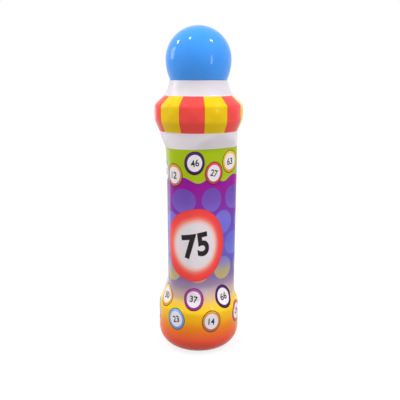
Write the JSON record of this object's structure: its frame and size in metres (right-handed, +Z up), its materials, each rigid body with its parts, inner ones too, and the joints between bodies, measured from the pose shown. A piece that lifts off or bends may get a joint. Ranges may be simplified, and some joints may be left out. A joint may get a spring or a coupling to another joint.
{
  "type": "bingo dauber",
  "caption": "Round-bodied ink dauber with a three-cornered grip, a striped faceted collar and a ball-shaped screw cap over a sprung foam pad.",
  "frame": {"origin": "middle of the foot, on the surface that the dauber stands on", "axes": "+Z up along the bottle's axis to the ball cap, -Y towards the side that shows in the picture, +X to that side's right"},
  "size_m": [0.0448, 0.0448, 0.1648],
  "materials": {
    "bottle_white": "blow-moulded white polyethylene, soft gloss",
    "printed_film": "printed shrink film, glossy",
    "ink": "blue liquid ink",
    "valve_plastic": "moulded natural polypropylene",
    "soft_seal": "soft elastomer",
    "spring_steel": "drawn stainless wire",
    "pad_foam": "open-cell foam, tinted by the ink",
    "pad_cover": "fine knitted nylon, tinted by the ink",
    "cap_liner": "moulded natural polypropylene",
    "cap_seal": "pale foamed elastomer",
    "cap_blue": "moulded glossy blue plastic"
  },
  "bodies": {
    "bottle": {"bottle": "bottle_white", "shrink_sleeve": "printed_film", "ink_fill": "ink", "applicator_housing": "valve_plastic", "neck_gasket": "soft_seal", "retainer_ring": "valve_plastic", "spring_cage": "valve_plastic", "valve_spring": "spring_steel"},
    "pad": {"plunger": "valve_plastic", "poppet": "valve_plastic", "valve_seal": "soft_seal", "sponge_pad": "pad_foam", "mesh_cover": "pad_cover"},
    "seal_ring": {"cap_seal": "cap_seal"},
    "cap": {"cap_shell": "cap_blue", "cap_insert": "cap_liner"}
  },
  "joints": [
    {"name": "pad_press", "type": "slide", "parent": "bottle", "child": "pad", "axis": [0, 0, 1], "range_m": [-0.0025, 0], "stiffness_N_per_m": 600, "springref_m": 0.003, "deforming": ["valve_spring"]},
    {"name": "cap_lift", "type": "slide", "parent": "bottle", "child": "seal_ring", "axis": [0, 0, 1], "range_m": [0, 0.0281]},
    {"name": "cap_turn", "type": "hinge", "parent": "seal_ring", "child": "cap", "pos_m": [0, 0, 0.1488], "axis": [0, 0, 1], "range_deg": [0, 1440]}
  ],
  "couplings": [
    {"joint": "cap_lift", "follows": "cap_turn", "m_per_rad": 0.0011141}
  ]
}
